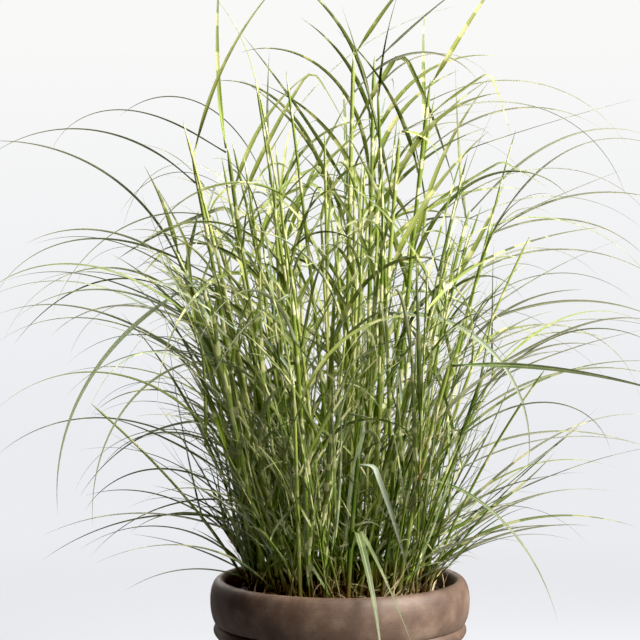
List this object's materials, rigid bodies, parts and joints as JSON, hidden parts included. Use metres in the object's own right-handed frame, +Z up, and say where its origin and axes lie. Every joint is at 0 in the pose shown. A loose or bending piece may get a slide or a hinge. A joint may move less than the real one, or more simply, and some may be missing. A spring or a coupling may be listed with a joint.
{
  "type": "potted ornamental grass clump",
  "caption": "Upright, arching clump of banded ornamental grass growing in a round clay pot with a rolled rim.",
  "frame": {"origin": "middle of the pot's flat underside", "axes": "+Z up along the pot's axis, -Y the front as pictured, +X to the right seen from the front"},
  "size_m": [1.0863, 1.0229, 1.3198],
  "materials": {
    "fired_clay": "matte",
    "potting_mix": "matte",
    "stem_sheath": "satin",
    "leaf_blade": "satin"
  },
  "bodies": {
    "root": {"pot": "fired_clay", "soil": "potting_mix", "stem_01": "stem_sheath", "stem_02": "stem_sheath", "stem_03": "stem_sheath", "stem_04": "stem_sheath", "stem_05": "stem_sheath", "stem_06": "stem_sheath", "stem_07": "stem_sheath", "stem_08": "stem_sheath", "stem_09": "stem_sheath", "stem_10": "stem_sheath", "stem_11": "stem_sheath", "stem_12": "stem_sheath", "stem_13": "stem_sheath", "stem_14": "stem_sheath", "stem_15": "stem_sheath", "stem_16": "stem_sheath", "leaf_01": "leaf_blade", "leaf_02": "leaf_blade", "leaf_03": "leaf_blade", "leaf_04": "leaf_blade", "leaf_05": "leaf_blade", "leaf_06": "leaf_blade", "leaf_07": "leaf_blade", "leaf_08": "leaf_blade", "leaf_09": "leaf_blade", "leaf_10": "leaf_blade", "leaf_11": "leaf_blade", "leaf_12": "leaf_blade", "leaf_13": "leaf_blade", "leaf_14": "leaf_blade", "leaf_15": "leaf_blade", "leaf_16": "leaf_blade", "leaf_17": "leaf_blade", "leaf_18": "leaf_blade", "leaf_19": "leaf_blade", "leaf_20": "leaf_blade", "leaf_21": "leaf_blade", "leaf_22": "leaf_blade", "leaf_23": "leaf_blade", "leaf_24": "leaf_blade", "leaf_25": "leaf_blade", "leaf_26": "leaf_blade", "leaf_27": "leaf_blade", "leaf_28": "leaf_blade", "leaf_29": "leaf_blade", "leaf_30": "leaf_blade", "leaf_31": "leaf_blade", "leaf_32": "leaf_blade", "leaf_33": "leaf_blade", "leaf_34": "leaf_blade", "leaf_35": "leaf_blade", "leaf_36": "leaf_blade", "leaf_37": "leaf_blade", "leaf_38": "leaf_blade", "leaf_39": "leaf_blade", "leaf_40": "leaf_blade", "leaf_41": "leaf_blade", "leaf_42": "leaf_blade"}
  },
  "joints": []
}
